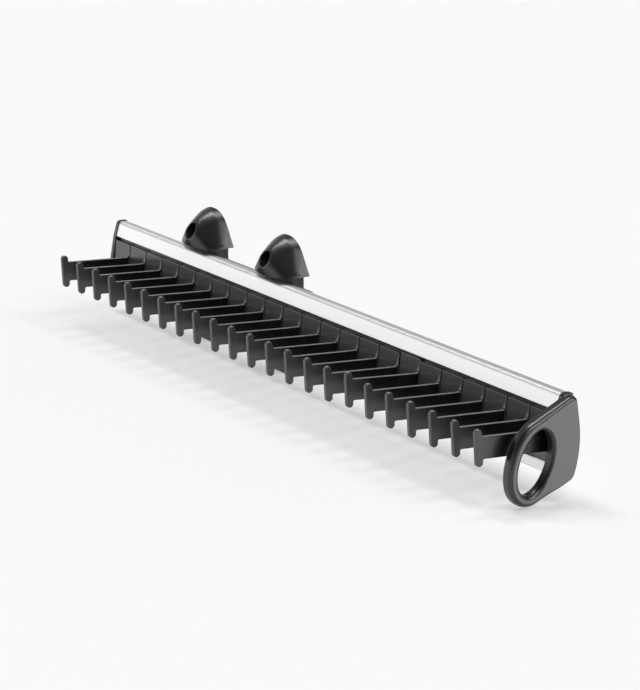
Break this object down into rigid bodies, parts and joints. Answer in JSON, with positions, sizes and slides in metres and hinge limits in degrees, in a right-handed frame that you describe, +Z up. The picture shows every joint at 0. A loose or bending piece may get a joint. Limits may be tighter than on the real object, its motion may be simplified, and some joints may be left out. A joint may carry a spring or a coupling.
{
  "type": "sliding tie rack",
  "caption": "Pull-out tie rack for a wardrobe side: a row of black clip-in hooks on an aluminium profile that slides on two wall brackets, with a finger ring in front",
  "frame": {"origin": "on the wall, midway between the two bracket screw holes and level with them", "axes": "X along the rack towards the ring, Y into the wall, Z up"},
  "size_m": [0.4715, 0.0637, 0.0792],
  "materials": {
    "bracket_plastic": "satin",
    "rail_metal": "satin",
    "glide_plastic": "matt",
    "screw_steel": "zinc plated",
    "profile_metal": "silver anodised",
    "hook_plastic": "semi-gloss",
    "cap_plastic": "satin",
    "stop_rubber": "matt"
  },
  "bodies": {
    "wall_mount": {"rear_bracket": "bracket_plastic", "front_bracket": "bracket_plastic", "carrier_rail": "rail_metal", "rear_glide": "glide_plastic", "front_glide": "glide_plastic", "rail_screws": "screw_steel"},
    "rack": {"rack_profile": "profile_metal", "hook_01": "hook_plastic", "hook_02": "hook_plastic", "hook_03": "hook_plastic", "hook_04": "hook_plastic", "hook_05": "hook_plastic", "hook_06": "hook_plastic", "hook_07": "hook_plastic", "hook_08": "hook_plastic", "hook_09": "hook_plastic", "hook_10": "hook_plastic", "hook_11": "hook_plastic", "hook_12": "hook_plastic", "hook_13": "hook_plastic", "hook_14": "hook_plastic", "hook_15": "hook_plastic", "hook_16": "hook_plastic", "hook_17": "hook_plastic", "hook_18": "hook_plastic", "hook_19": "hook_plastic", "hook_20": "hook_plastic", "hook_21": "hook_plastic", "hook_22": "hook_plastic", "hook_23": "hook_plastic", "rear_end_cap": "cap_plastic", "pull_ring_cap": "cap_plastic", "rear_stop": "stop_rubber", "front_stop": "stop_rubber"}
  },
  "joints": [
    {"name": "rack_slide", "type": "slide", "parent": "wall_mount", "child": "rack", "axis": [1, 0, 0], "range_m": [-0.2325, 0.0608]}
  ]
}
